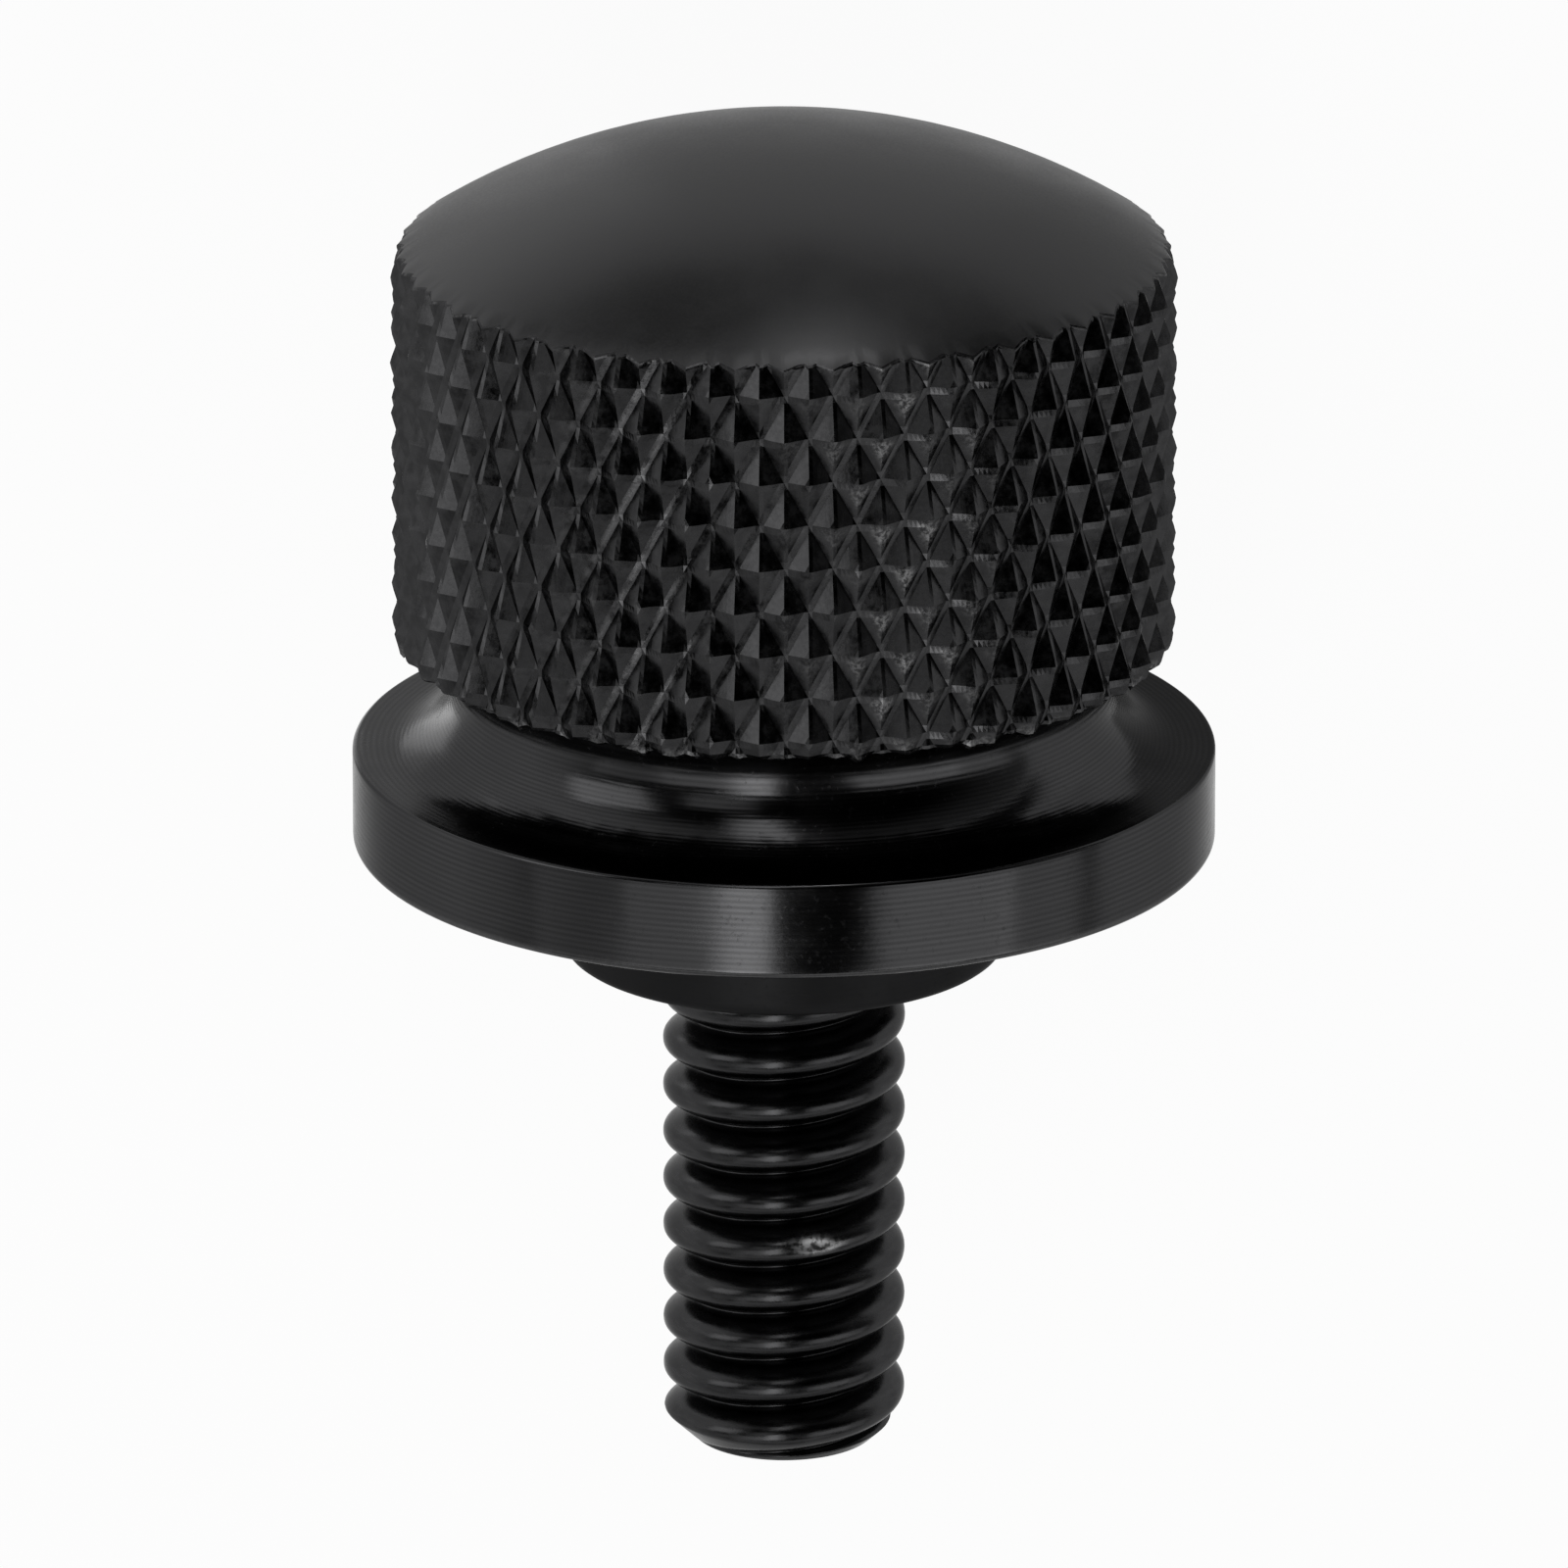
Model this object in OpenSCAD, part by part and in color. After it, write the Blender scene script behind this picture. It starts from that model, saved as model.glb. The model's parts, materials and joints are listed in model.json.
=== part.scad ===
// Seat tab screw, turned in one piece from bar: a domed head with a diamond knurl, a coved neck, a flange,
// a locating shoulder and a threaded shank. It lies on its side, on the flange's rim and two knurl tips.
// The screw is drawn upright along +Z with the flange's seat face at zero, and is then laid down.

/* [Flange] */
// Outside diameter of the flange
flange_d = 22; // [21:0.1:30]
// Thickness of the flange
flange_t = 2.5; // [1.5:0.1:6]
// Radius of the round on the flange's edge towards the head
flange_head_round = 0.1; // [0.05:0.05:0.6]
// Radius of the round on the flange's edge towards the thread
flange_seat_round = 0.2; // [0.05:0.05:0.8]

/* [Neck] */
// Diameter of the neck between flange and grip
neck_d = 16.8; // [12:0.1:17.6]
// Height of the neck, from the flange to the grip's lower face
neck_h = 2.9; // [2.4:0.1:8]
// Radius of the round groove that forms the neck
cove_r = 1.75; // [0.5:0.05:2.2]
// Height over which the groove curves out again under the grip
cove_top = 1.15; // [0.2:0.05:1.5]

/* [Grip] */
// Diameter of the grip over the tips of the knurl
grip_d = 20; // [18:0.1:21.6]
// Height of the grip, from its lower face to the edge of the dome
grip_h = 10.1; // [5:0.1:25]
// Rise of the dome above its edge
dome_h = 3.15; // [1.5:0.05:7]

/* [Knurl] */
// Number of teeth round the grip
knurl_teeth = 50; // [30:1:70]
// Angle of the knurl's grooves to the axis
knurl_angle = 29; // [22:1:40]
// Depth of the grooves below the tips
knurl_depth = 0.35; // [0.2:0.05:0.7]
// Distance of the first whole row of tips below the edge of the dome
knurl_start = 0.55; // [0.3:0.05:1.2]

/* [Shoulder] */
// Diameter of the locating shoulder under the flange
shoulder_d = 11.4; // [9:0.1:16]
// Height of the shoulder
shoulder_h = 2.95; // [1.5:0.05:8]
// Bevel on the shoulder's lower edge
shoulder_bevel = 0.35; // [0.1:0.05:0.8]

/* [Thread] */
// Outside diameter of the thread
thread_d = 6.2; // [4:0.1:7.5]
// Length of the threaded shank below the shoulder
thread_l = 13.25; // [6:0.25:40]
// Depth of the lead-in bevel at the thread's end
tip_bevel = 0.75; // [0.3:0.05:1.2]
// Length of the lead-in bevel along the thread
tip_bevel_l = 0.7; // [0.3:0.05:1.5]

/* [Hidden] */
$fa = 3;
$fs = 0.15;

flange_r = flange_d / 2;
neck_r = neck_d / 2;
grip_r = grip_d / 2;
shoulder_r = shoulder_d / 2;
thread_r = thread_d / 2;
tip_r = thread_r - tip_bevel;

// Heights above the seat face
grip_z = flange_t + neck_h;
dome_edge_z = grip_z + grip_h;
apex_z = dome_edge_z + dome_h;
thread_z = -shoulder_h;
tail_z = thread_z - thread_l;

// Heights of the lower and the upper centre of the neck's groove, which are one where the neck is short
cove_low_z = flange_t + cove_r;
cove_high_z = max(cove_low_z, grip_z - min(cove_top, cove_r));

// The dome is a cap of a sphere that passes through its edge and its apex
dome_r = (grip_r * grip_r + dome_h * dome_h) / (2 * dome_h);
dome_z = apex_z - dome_r;

// The knurl's rows lie half a pitch apart along the axis
root_r = grip_r - knurl_depth;
half_tooth = 180 / knurl_teeth;
row_h = PI * grip_d / knurl_teeth / tan(knurl_angle) / 2;
first_tips_z = dome_edge_z - knurl_start;
rows_above = ceil((apex_z - first_tips_z) / row_h) + 1;
rows_below = ceil((first_tips_z - grip_z) / row_h) + 1;

// How far pieces reach into each other, or a cutting shape beyond what it cuts
reach = 1;

// The screw rests with this side down, where it touches two neighbouring tips of the first row
rest_side = 90;
tips_reach = grip_r * cos(half_tooth);
rim_r = flange_r - flange_head_round;
rim_z = flange_t - flange_head_round;
rim_to_tips = norm([rim_r - tips_reach, first_tips_z - rim_z]);
lean = atan2(rim_r - tips_reach, first_tips_z - rim_z) + asin(flange_head_round / rim_to_tips);
seat_height = rim_r * cos(lean) + rim_z * sin(lean) + flange_head_round;
head_end = dome_z * cos(lean) + dome_r;
tail_end = tail_z * cos(lean) - tip_r * sin(lean);

// A tip and a groove crossing take turns along each row, and each row is half a tooth ahead of the last
function is_tip(row, column) = (row + column) % 2 != 0;

function knurl_point(row, column) =
    let (
        angle = rest_side + column * half_tooth,
        radius = is_tip(row, column) ? grip_r : root_r
    )
    [radius * cos(angle), radius * sin(angle), first_tips_z - row * row_h];

// Number of a point in the list of all points, with the columns closed round the grip
function knurl_index(row, column) = (row + rows_above) * 2 * knurl_teeth + column % (2 * knurl_teeth);

// Two flat flanks between a point and its neighbours to the right and below, parted along the groove
function knurl_flanks(row, column) =
    let (
        here = knurl_index(row, column),
        right = knurl_index(row, column + 1),
        below = knurl_index(row + 1, column),
        across = knurl_index(row + 1, column + 1)
    )
    is_tip(row, column)
        ? [[here, right, below], [right, across, below]]
        : [[here, right, across], [here, across, below]];

// A drum, taller than the grip, whose wall is all four-sided pyramids
module knurled_drum() {
    rows = [-rows_above : rows_below];
    columns = [0 : 2 * knurl_teeth - 1];
    flanks = [
        for (row = [-rows_above : rows_below - 1], column = columns)
            each knurl_flanks(row, column)
    ];
    upper_end = [for (column = [2 * knurl_teeth - 1 : -1 : 0]) knurl_index(-rows_above, column)];
    lower_end = [for (column = columns) knurl_index(rows_below, column)];
    polyhedron(
        points = [for (row = rows, column = columns) knurl_point(row, column)],
        faces = concat(flanks, [upper_end, lower_end])
    );
}

// Half section of the space that the head fills: the dome over the grip's flat lower face
module head_section() {
    intersection() {
        translate([0, dome_z]) circle(dome_r);
        translate([0, grip_z]) square([grip_r + reach, grip_h + dome_h + reach]);
    }
}

module head() {
    intersection() {
        knurled_drum();
        rotate_extrude() head_section();
    }
}

// What a round of the given radius takes off a corner that points along +X and +Y from its centre
module corner_waste(radius) {
    difference() {
        square(radius + reach);
        circle(radius);
    }
}

module flange_section() {
    difference() {
        square([flange_r, flange_t]);
        translate([rim_r, rim_z]) corner_waste(flange_head_round);
        translate([flange_r - flange_seat_round, flange_seat_round])
            mirror([0, 1]) corner_waste(flange_seat_round);
    }
}

// Half section of the groove round the neck: a round end on the neck's side, drawn out where the neck is tall
module groove_section() {
    translate([neck_r + cove_r, cove_low_z]) circle(cove_r);
    translate([neck_r + cove_r, flange_t]) square([flange_r, cove_high_z + cove_r - flange_t]);
    if (cove_high_z > cove_low_z) {
        translate([neck_r + cove_r, cove_high_z]) circle(cove_r);
        translate([neck_r, cove_low_z]) square([cove_r + reach, cove_high_z - cove_low_z]);
    }
}

// The neck is what the groove leaves: it spreads onto the flange below, and out again under the grip. It runs
// up into the head, well inside the knurl's grooves.
module neck_section() {
    difference() {
        translate([0, flange_t / 2]) {
            square([neck_r + cove_r, flange_t / 2 + cove_r]);
            square([root_r - knurl_depth, flange_t / 2 + neck_h + reach]);
        }
        groove_section();
    }
}

module shoulder_section() {
    polygon([
        [0, flange_t / 2],
        [shoulder_r, flange_t / 2],
        [shoulder_r, thread_z + shoulder_bevel],
        [shoulder_r - shoulder_bevel, thread_z],
        [0, thread_z]
    ]);
}

module thread_section() {
    polygon([
        [0, 0],
        [thread_r, 0],
        [thread_r, tail_z + tip_bevel_l],
        [tip_r, tail_z],
        [0, tail_z]
    ]);
}

module turned_body() {
    rotate_extrude() {
        flange_section();
        neck_section();
        shoulder_section();
        thread_section();
    }
}

// Lays the upright screw on its resting side, with the middle of its length over the origin
module lay_down() {
    translate([0, -(head_end + tail_end) / 2, seat_height])
        rotate([-90 - lean, 0, 0])
            children();
}

module seat_tab_screw() {
    color([0.1, 0.1, 0.1])
        lay_down() {
            turned_body();
            head();
        }
}

seat_tab_screw();
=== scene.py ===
"""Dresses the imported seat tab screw, a black turned screw with a diamond knurl and a thread, on its stage."""

import json
import math

import bpy
import numpy as np
from bpy.props import FloatProperty, FloatVectorProperty, IntProperty, PointerProperty
from bpy.types import Operator, Panel, PropertyGroup
from mathutils import Matrix, Vector


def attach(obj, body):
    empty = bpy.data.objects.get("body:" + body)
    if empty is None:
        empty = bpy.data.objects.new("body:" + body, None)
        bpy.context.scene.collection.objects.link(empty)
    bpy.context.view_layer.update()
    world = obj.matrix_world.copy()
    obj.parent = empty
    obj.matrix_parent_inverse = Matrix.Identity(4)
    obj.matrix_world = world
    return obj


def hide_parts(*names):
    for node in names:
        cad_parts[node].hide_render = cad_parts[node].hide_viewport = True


bl_info = {
    "name": "Seat Tab Screw",
    "version": (1, 0, 0),
    "blender": (4, 5, 0),
    "location": "3D View > Sidebar > Seat Tab Screw",
    "description": "Builds the knurled seat tab screw and its stage around the packed part",
    "category": "Object",
}

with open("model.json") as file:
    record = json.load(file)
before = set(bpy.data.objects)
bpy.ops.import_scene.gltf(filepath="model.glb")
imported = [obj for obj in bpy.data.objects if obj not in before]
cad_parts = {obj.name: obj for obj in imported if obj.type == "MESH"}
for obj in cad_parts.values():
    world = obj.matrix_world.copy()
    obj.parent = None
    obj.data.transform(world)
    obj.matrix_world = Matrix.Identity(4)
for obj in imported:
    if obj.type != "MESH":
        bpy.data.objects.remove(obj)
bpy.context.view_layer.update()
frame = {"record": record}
NODE = "seat_tab_screw"
MM = 0.001
SEED = 29

# Zones of the surface, each with a finish of its own
DOME, GRIP, TURNED, THREAD = range(4)

# Even steps across half a knurl tooth
HALF_TOOTH_STEPS = np.arange(6) / 6

# Points round the turned part and round the thread, and rows of points in one pitch
TURNED_COLUMNS = 200
THREAD_COLUMNS = 100
ROWS_PER_PITCH = 24

# The grip's lower edge, in millimetres: heights of its last rows, how far these are eased in, and how far
# they sag at a burr
EDGE_ROWS = np.array([0.0, 0.05, 0.13])
EDGE_EASE = (0.11, 0.03, 0.0)
EDGE_SAG = (0.22, 0.154, 0.044)

# Steps between chips on the dome's rim and between burrs on the lower edge, in half teeth
CHIP_STEP = 0.7
BURR_STEP = 0.45

# The nick in a crest: its turn, and in millimetres its height, half width, half height and depth
NICK_TURN = math.radians(284.5)
NICK_Z = -10.05
NICK_W = 0.45
NICK_H = 0.16
NICK_DEPTH = 0.09


def mount_point(name):
    """A mount's place and axis from the record, as arrays."""
    mount = next(m for m in frame["record"]["mounts"] if m["name"] == name)
    return np.array(mount["pos_m"], float), np.array(mount["axis"], float)


def upright_frame():
    """The screw's own axes in the row frame: the centre of its seat face, then right, back and up.

    Up runs along the screw towards its head, against the thread mount's axis. The seat face's centre is the
    point of the thread's axis that is level with the seat face. Right is the row's +X, and back is up crossed
    with right, so the photographed front is the side that lies uppermost.
    """
    thread, along_tail = mount_point("thread")
    seat, _ = mount_point("seat_face")
    up = -along_tail / np.linalg.norm(along_tail)
    centre = thread + up * np.dot(seat - thread, up)
    right = np.array([1.0, 0.0, 0.0])
    back = np.cross(up, right)
    return centre, right, back, up


CENTRE, RIGHT, BACK, UP = upright_frame()
FRONT = -BACK


class ScrewSizes(PropertyGroup):
    """Sizes of the screw, upright, with heights from the flange's seat face."""

    flange_d: FloatProperty(
        name="Flange", description="Outside diameter of the flange", default=0.022, unit="LENGTH"
    )
    flange_t: FloatProperty(
        name="Flange thickness", description="Thickness of the flange", default=0.0025, unit="LENGTH"
    )
    flange_head_round: FloatProperty(
        name="Head edge",
        description="Round on the flange's edge towards the head",
        default=0.0001, unit="LENGTH",
    )
    flange_seat_round: FloatProperty(
        name="Seat edge",
        description="Round on the flange's edge towards the thread",
        default=0.0002, unit="LENGTH",
    )
    neck_d: FloatProperty(name="Neck", description="Diameter of the neck", default=0.0168, unit="LENGTH")
    neck_h: FloatProperty(
        name="Neck height", description="Height of the neck over the flange", default=0.0029, unit="LENGTH"
    )
    cove_r: FloatProperty(
        name="Groove",
        description="Radius of the round groove that forms the neck",
        default=0.00175, unit="LENGTH",
    )
    cove_top: FloatProperty(
        name="Groove top",
        description="Height over which the groove curves out under the grip",
        default=0.00115, unit="LENGTH",
    )
    grip_d: FloatProperty(
        name="Grip", description="Diameter over the knurl's tips", default=0.02, unit="LENGTH"
    )
    grip_h: FloatProperty(
        name="Grip height", description="Height of the grip below the dome", default=0.0101, unit="LENGTH"
    )
    dome_h: FloatProperty(
        name="Dome", description="Rise of the dome above its edge", default=0.00315, unit="LENGTH"
    )
    knurl_teeth: IntProperty(name="Teeth", description="Knurl teeth round the grip", default=50, min=12)
    knurl_angle: FloatProperty(
        name="Groove angle",
        description="Angle of the grooves to the axis",
        default=math.radians(29), subtype="ANGLE",
    )
    knurl_depth: FloatProperty(
        name="Groove depth", description="Depth of the grooves below the tips", default=0.00035, unit="LENGTH"
    )
    knurl_start: FloatProperty(
        name="First tips",
        description="First row of tips below the dome's edge",
        default=0.00055, unit="LENGTH",
    )
    shoulder_d: FloatProperty(
        name="Shoulder", description="Diameter of the shoulder", default=0.0114, unit="LENGTH"
    )
    shoulder_h: FloatProperty(
        name="Shoulder height", description="Height of the shoulder", default=0.00295, unit="LENGTH"
    )
    shoulder_bevel: FloatProperty(
        name="Shoulder bevel",
        description="Bevel on the shoulder's lower edge",
        default=0.00035, unit="LENGTH",
    )
    thread_d: FloatProperty(
        name="Thread", description="Diameter over the thread's crests", default=0.0062, unit="LENGTH"
    )
    thread_l: FloatProperty(
        name="Thread length", description="Length below the shoulder", default=0.01325, unit="LENGTH"
    )
    thread_pitch: FloatProperty(
        name="Pitch",
        description="Rise of the thread in one turn, twenty to the inch",
        default=0.00127, unit="LENGTH",
    )
    thread_depth: FloatProperty(
        name="Thread depth",
        description="Depth of the thread's valleys below its crests",
        default=0.00072, unit="LENGTH",
    )
    tip_bevel: FloatProperty(
        name="Lead-in", description="Depth of the bevel at the end", default=0.00075, unit="LENGTH"
    )
    tip_bevel_l: FloatProperty(
        name="Lead-in length", description="Length of the bevel at the end", default=0.0007, unit="LENGTH"
    )


class ScrewFinish(PropertyGroup):
    """Colours and gloss of the black finish."""

    black: FloatVectorProperty(
        name="Black",
        description="Colour of the finish",
        default=(0.034, 0.034, 0.035), subtype="COLOR", size=3,
    )
    dome: FloatVectorProperty(
        name="Dome black",
        description="Colour of the satin dome",
        default=(0.05, 0.05, 0.051), subtype="COLOR", size=3,
    )
    # Colour for wear, and for painted highlights in the knurl's grooves and on the flange's seat edge
    worn: FloatVectorProperty(
        name="Worn",
        description="Colour of rubbed tips and edges",
        default=(0.24, 0.24, 0.242), subtype="COLOR", size=3,
    )
    bare: FloatVectorProperty(
        name="Bare",
        description="Colour of the metal in a nick",
        default=(0.80, 0.80, 0.81), subtype="COLOR", size=3,
    )
    dome_edge: FloatProperty(
        name="Dome edge",
        description="Share of the dome's reflection kept at a grazing view",
        default=0.65, min=0, max=1,
    )
    grip_edge: FloatProperty(
        name="Knurl edge",
        description="Share of the knurl's reflection kept at a grazing view",
        default=0.5, min=0, max=1,
    )
    turned_edge: FloatProperty(
        name="Turned edge",
        description="Share of the turned reflection kept at a grazing view",
        default=0.55, min=0, max=1,
    )
    thread_edge: FloatProperty(
        name="Thread edge",
        description="Share of the thread's reflection kept at a grazing view",
        default=0.6, min=0, max=1,
    )
    dome_roughness: FloatProperty(
        name="Dome", description="Roughness of the satin dome", default=0.38, min=0, max=1, subtype="FACTOR"
    )
    grip_roughness: FloatProperty(
        name="Knurl", description="Roughness of the knurl", default=0.25, min=0, max=1, subtype="FACTOR"
    )
    turned_roughness: FloatProperty(
        name="Turned",
        description="Roughness of neck, flange and shoulder",
        default=0.19, min=0, max=1, subtype="FACTOR",
    )
    thread_roughness: FloatProperty(
        name="Thread", description="Roughness of the thread", default=0.24, min=0, max=1, subtype="FACTOR"
    )
    tool_pitch: FloatProperty(
        name="Tool lines", description="Spacing of the lines left by turning", default=0.00015, unit="LENGTH"
    )


class StageSettings(PropertyGroup):
    """Camera, floor and lamps."""

    elevation: FloatProperty(
        name="Elevation",
        description="Camera above the seat face's plane",
        default=math.radians(19.2), subtype="ANGLE",
    )
    distance: FloatProperty(name="Distance", description="Camera to its target", default=0.526, unit="LENGTH")
    lens: FloatProperty(name="Lens", description="Focal length in millimetres", default=473.4)
    aim: FloatProperty(
        name="Aim", description="Target above the seat face, along the axis", default=0.001376, unit="LENGTH"
    )
    floor: FloatVectorProperty(
        name="Floor", description="Colour of the floor", default=(0.86, 0.86, 0.86), subtype="COLOR", size=3
    )
    lamp_gain: FloatProperty(name="Lamps", description="Common gain of the lamps", default=1.0, min=0)


def lengths_in_mm(group):
    """A property group's lengths in millimetres, and its other values as they are."""
    values = {}
    for name, prop in group.bl_rna.properties.items():
        if prop.type in {"FLOAT", "INT"}:
            value = getattr(group, name)
            values[name] = value / MM if prop.unit == "LENGTH" else value
    return values


class Shell:
    """Points and triangles of one closed surface, gathered band by band from the apex to the tail."""

    def __init__(self):
        self.points, self.wear, self.groove = [], [], []
        self.triangles, self.zones = [], []
        self.count = 0

    def add(self, radius, turn, height, wear=0.0, groove=0.0):
        """Adds points given by radius, turn and height, and returns their numbers in the same shape."""
        radius, turn, height, wear, groove = np.broadcast_arrays(radius, turn, height, wear, groove)
        xyz = np.stack([radius * np.cos(turn), radius * np.sin(turn), height], axis=-1)
        self.points.append(xyz.reshape(-1, 3))
        self.wear.append(wear.ravel())
        self.groove.append(groove.ravel())
        numbers = self.count + np.arange(radius.size).reshape(radius.shape)
        self.count += radius.size
        return numbers

    def skin(self, triangles, zone):
        """Keeps triangles of a zone, but not those that have shrunk to a line."""
        triangles = triangles.reshape(-1, 3)
        a, b, c = triangles.T
        kept = triangles[(a != b) & (b != c) & (c != a)]
        self.triangles.append(kept)
        self.zones.append(np.full(len(kept), zone))

    def band(self, numbers, zone, closed=True, falling=None):
        """Two triangles for each cell of a grid of rows that go down and columns that go round.

        Where falling is true, a cell is parted from its upper left to its lower right corner, and otherwise
        from its lower left to its upper right.
        """
        if closed:
            numbers = np.concatenate([numbers, numbers[:, :1]], axis=1)
        a, b = numbers[:-1, :-1], numbers[1:, :-1]
        c, d = numbers[1:, 1:], numbers[:-1, 1:]
        down = np.stack([a, b, c, a, c, d], axis=-1)
        if falling is None:
            self.skin(down, zone)
        else:
            up = np.stack([a, b, d, b, c, d], axis=-1)
            self.skin(np.where(falling[..., None], down, up), zone)

    def fan(self, ring, pole, zone, below=False):
        """Closes a ring onto one pole above it, or below it."""
        after = np.roll(ring, -1)
        sides = (after, ring) if below else (ring, after)
        self.skin(np.stack([np.full_like(ring, pole), *sides], axis=-1), zone)

    def stitch(self, wide, narrow, zone):
        """Joins a ring to one below or inside it that has a whole fraction of its points.

        Each step of the narrow ring takes the same number of steps of the wide ring: the first half of them
        fan to the step's start and the rest to its end, with one triangle between.
        """
        share = len(wide) // len(narrow)
        half = (share + 1) // 2
        after = np.roll(wide, -share).reshape(-1, share)[:, :1]
        groups = np.concatenate([wide.reshape(-1, share), after], axis=1)
        start, end = narrow[:, None], np.roll(narrow, -1)[:, None]
        first = np.stack(np.broadcast_arrays(groups[:, :half], start, groups[:, 1 : half + 1]), axis=-1)
        middle = np.stack([groups[:, half : half + 1], start, end], axis=-1)
        rest = np.stack(np.broadcast_arrays(groups[:, half:-1], end, groups[:, half + 1 :]), axis=-1)
        for triangles in (first, middle, rest):
            self.skin(triangles, zone)

    def mesh(self, name):
        """The surface as a mesh in the row frame: the seat face's centre plus each point along the axes.

        All but the knurl, whose flanks are flat, is shaded smooth.
        """
        xyz = np.concatenate(self.points)
        used, triangles = np.unique(np.concatenate(self.triangles), return_inverse=True)
        triangles = triangles.reshape(-1, 3)
        placed = CENTRE + MM * (xyz[used] @ np.stack([RIGHT, BACK, UP]))
        mesh = bpy.data.meshes.new(name)
        mesh.from_pydata(placed.tolist(), [], triangles.tolist())
        zones = np.concatenate(self.zones)
        mesh.polygons.foreach_set("material_index", zones.astype(np.int32))
        mesh.polygons.foreach_set("use_smooth", zones != GRIP)
        # Wear with the painted seat-edge highlight, and the painted highlight in the knurl's grooves
        for label, values in (("wear", self.wear), ("groove", self.groove)):
            layer = mesh.attributes.new(label, "FLOAT", "POINT")
            layer.data.foreach_set("value", np.concatenate(values)[used].astype(np.float32))
        if mesh.validate():
            raise RuntimeError("the screw's surface has faulty faces")
        return mesh


def smooth_step(low, high, value):
    """A ramp from 0 at low to 1 at high with level ends: three squares less two cubes of the share."""
    share = np.clip((value - low) / (high - low), 0, 1)
    return share * share * (3 - 2 * share)


def smooth_min(a, b, width):
    """The lesser of two values, with the corner between them rounded over the given width."""
    share = np.clip(0.5 + (b - a) / (2 * width), 0, 1)
    return b + (a - b) * share - width * share * (1 - share)


def arc(centre, radius, start, end, steps):
    """Profile points (radius, height) on a circle from one angle to another, in degrees."""
    angles = np.radians(np.linspace(start, end, steps + 1))
    return np.stack([centre[0] + radius * np.cos(angles), centre[1] + radius * np.sin(angles)], axis=-1)


class Knurl:
    """The knurl as a radius over columns, counted in half teeth, and rows, counted in half diamonds.

    Grooves are the lines where column plus row, or column less row, is even. Between them each diamond is a
    four-sided pyramid: its rise falls with the greater of the distances from the tip towards the rising and
    the falling groove. The rising grooves have a flat floor that leans a little to the right, and each tip is
    a little blunted by chance.
    """

    # Half width of the rising floors, as a share of a half tooth
    FLOOR = 1 / 6

    # Shares of the depth: lean of the rising floors, how far chance blunts a tip and lowers a diamond, the
    # height of a sharp tip, and the round on it
    TILT = 0.19
    BLUNT = 0.1
    LOWER = 0.1
    TIP = 0.96
    TIP_ROUND = 0.05

    # Columns where the grip is rubbed most and where rising grooves get painted highlights, and the spread
    RUBBED = 55
    DRAWN = 44
    SPREAD = 3.5

    # Strength of the wear on the tips, and rows of diamonds before their chances repeat
    TIP_WEAR = 0.16
    CHANCE_ROWS = 32

    def __init__(self, size):
        self.size = size
        self.grip_r = size["grip_d"] / 2
        self.half_tooth = math.pi / size["knurl_teeth"]
        self.row_h = self.grip_r * self.half_tooth / math.tan(size["knurl_angle"])
        self.grip_z = size["flange_t"] + size["neck_h"]
        self.edge_z = self.grip_z + size["grip_h"]
        self.first_z = self.edge_z - size["knurl_start"]
        rng = np.random.default_rng(SEED)
        shape = (self.CHANCE_ROWS, 2 * size["knurl_teeth"])
        self.cap = 1 - self.BLUNT * rng.random(shape)
        self.gain = 1 - self.LOWER * rng.random(shape)
        self.rub = rng.random(shape)

    def radius(self, column, height):
        """Radius, wear, and share of painted highlight in the rising groove at a column and a height."""
        row = (self.first_z - height) / self.row_h
        rising, falling = (column + row) / 2, (column - row) / 2
        rising_no, falling_no = np.floor(rising), np.floor(falling)
        a, b = 2 * (rising - rising_no) - 1, 2 * (falling - falling_no) - 1
        foot = 1 - self.FLOOR
        levels = [self.TILT / 2, 0, 1, self.TILT, self.TILT / 2]
        rising_rise = np.interp(a, [-1, -foot, 0, foot, 1], levels)
        on_floor = np.abs(a) > foot + 1e-6
        rise = np.where(on_floor, rising_rise, np.minimum(rising_rise, 1 - np.abs(b)))
        diamond_row = (rising_no - falling_no).astype(int) % len(self.cap)
        diamond_column = (rising_no + falling_no).astype(int) % self.cap.shape[1]
        cap = self.cap[diamond_row, diamond_column]
        gain = self.gain[diamond_row, diamond_column]
        rub = self.rub[diamond_row, diamond_column]
        rise = smooth_min(rise * gain, cap * self.TIP, self.TIP_ROUND)
        lower = smooth_step(0.0, 0.25, (a - b) / 2) * smooth_step(0.2, 0.6, rise)
        lightened = self.nearness(column, self.RUBBED) * lower * smooth_step(0.1, 0.8, rub)
        wear = np.maximum(self.TIP_WEAR * smooth_step(0.55, 1.0, rise) * rub, lightened)
        # Painted highlight on the rising grooves' floors, near one column at the front
        groove = smooth_step(0.82, 1.0, np.abs(a)) * self.nearness(column, self.DRAWN)
        return self.grip_r - self.size["knurl_depth"] * (1 - np.clip(rise, 0, 1)), wear, groove

    def nearness(self, column, middle):
        """A bell over the columns: 1 at its middle, fading with the square of the distance from there."""
        return np.exp(-(((column - middle) / self.SPREAD) ** 2))


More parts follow.
